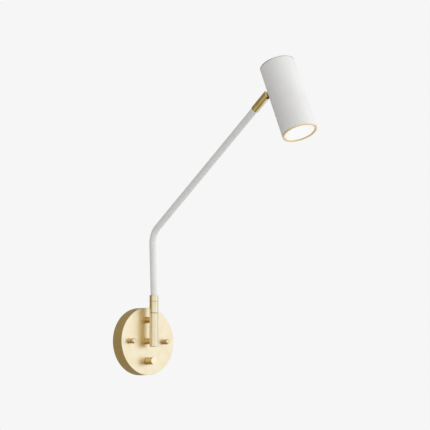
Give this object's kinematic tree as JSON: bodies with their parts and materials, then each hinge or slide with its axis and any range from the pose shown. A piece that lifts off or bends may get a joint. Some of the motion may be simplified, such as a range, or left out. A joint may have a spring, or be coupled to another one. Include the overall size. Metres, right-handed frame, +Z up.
{
  "type": "wall reading lamp",
  "caption": "Swing-arm wall reading lamp: round canopy, short post with a swivel sleeve, slender bent arm, and a cylindrical LED head that tilts on a slotted knuckle at the arm's end.",
  "frame": {"origin": "on the wall's surface at the centre of the round canopy", "axes": "+Z up, +Y into the wall, so the lamp stands out towards -Y; +X to the right as seen when facing the wall"},
  "size_m": [0.12, 0.4474, 0.5307],
  "materials": {
    "satin_brass": "satin, fine brushed, lacquered",
    "knuckle_brass": "turned, satin",
    "earth_brass": "plain",
    "bronze": "sintered, oiled",
    "white_enamel": "matt powder coat",
    "zinc_steel": "zinc plated",
    "spring_steel": "oiled",
    "black_steel": "black oxide",
    "sink_aluminium": "cast, plain",
    "board_white": "white solder mask",
    "led_yellow": "cast silicone",
    "reflector_white": "moulded, glossy",
    "opal": "frosted opal acrylic",
    "driver_plastic": "moulded",
    "terminal_plastic": "moulded nylon",
    "dimmer_plastic": "moulded",
    "black_rubber": "moulded",
    "white_rubber": "silicone",
    "washer_nylon": "natural nylon",
    "lead_white": "PVC insulation"
  },
  "bodies": {
    "wall_base": {"canopy_cover": "satin_brass", "mounting_bracket": "zinc_steel", "cover_studs": "zinc_steel", "cap_nuts": "satin_brass", "cable_grommet": "black_rubber", "terminal_block": "terminal_plastic", "terminal_screws": "zinc_steel", "earth_screw": "earth_brass", "earth_washer": "earth_brass", "led_driver": "driver_plastic", "driver_screws": "zinc_steel", "dimmer_body": "dimmer_plastic", "dimmer_bush": "zinc_steel", "dimmer_nut": "zinc_steel", "post": "satin_brass", "standoff_upper": "satin_brass", "standoff_lower": "satin_brass", "post_washers": "zinc_steel", "upper_post_screw": "zinc_steel", "hollow_bolt": "zinc_steel", "post_bush": "bronze", "supply_lead": "lead_white", "dimmer_lead": "lead_white", "post_lead": "lead_white"},
    "knob": {"dimmer_shaft": "zinc_steel", "dimmer_knob": "satin_brass", "knob_grub_screw": "black_steel"},
    "arm": {"swivel_spindle": "zinc_steel", "spindle_clip": "spring_steel", "swivel_washer": "washer_nylon", "swivel_sleeve": "satin_brass", "arm_grub_screw": "black_steel", "arm_collar": "satin_brass", "arm_tube": "white_enamel", "knuckle_collar": "knuckle_brass", "knuckle_fork": "knuckle_brass", "pivot_screw": "knuckle_brass", "friction_washer": "washer_nylon", "arm_lead": "lead_white"},
    "head": {"head_lug": "knuckle_brass", "head_shell": "white_enamel", "back_cap": "satin_brass", "cap_o_ring": "black_rubber", "front_ring": "satin_brass", "diffuser": "opal", "diffuser_gasket": "white_rubber", "reflector": "reflector_white", "led_board": "board_white", "led_chip": "led_yellow", "board_screws": "zinc_steel", "heat_sink": "sink_aluminium", "snap_ring": "spring_steel", "lug_washer": "zinc_steel", "lug_nut": "zinc_steel", "head_lead": "lead_white"}
  },
  "joints": [
    {"name": "dimmer_turn", "type": "hinge", "parent": "wall_base", "child": "knob", "pos_m": [0, -0.03, -0.035], "axis": [0, 1, 0], "range_deg": [-270, 0]},
    {"name": "arm_swivel", "type": "hinge", "parent": "wall_base", "child": "arm", "pos_m": [0, -0.042, 0.0499], "axis": [0, 0, 1], "range_deg": [-90, 90]},
    {"name": "head_tilt", "type": "hinge", "parent": "arm", "child": "head", "pos_m": [0, -0.33934, 0.40934], "axis": [1, 0, 0], "range_deg": [-98, 76]}
  ]
}
